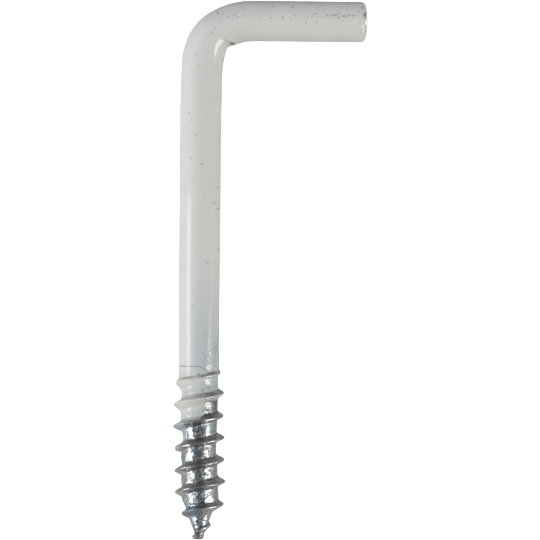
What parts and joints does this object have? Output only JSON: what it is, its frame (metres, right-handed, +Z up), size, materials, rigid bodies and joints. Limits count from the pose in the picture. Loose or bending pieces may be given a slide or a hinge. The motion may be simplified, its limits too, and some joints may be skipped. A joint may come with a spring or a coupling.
{
  "type": "l-shaped screw hook",
  "caption": "Round steel wire bent square into a short arm at one end, with a coarse wood-screw thread and a blunt point rolled on the other; white paint over zinc.",
  "frame": {"origin": "centre of the footprint, on the surface that the hook lies on", "axes": "+Y up the shank, from the thread's point to the bend; +X out along the arm; +Z up from the surface"},
  "size_m": [0.0178, 0.05, 0.0048],
  "materials": {
    "painted_steel": "glossy off-white paint on the arm, the bend, the shank and the first turns of the thread, with fine dark pits; bright zinc plate, mottled and slightly dirty, on the rest of the thread"
  },
  "bodies": {
    "root": {"hook": "painted_steel"}
  },
  "joints": []
}
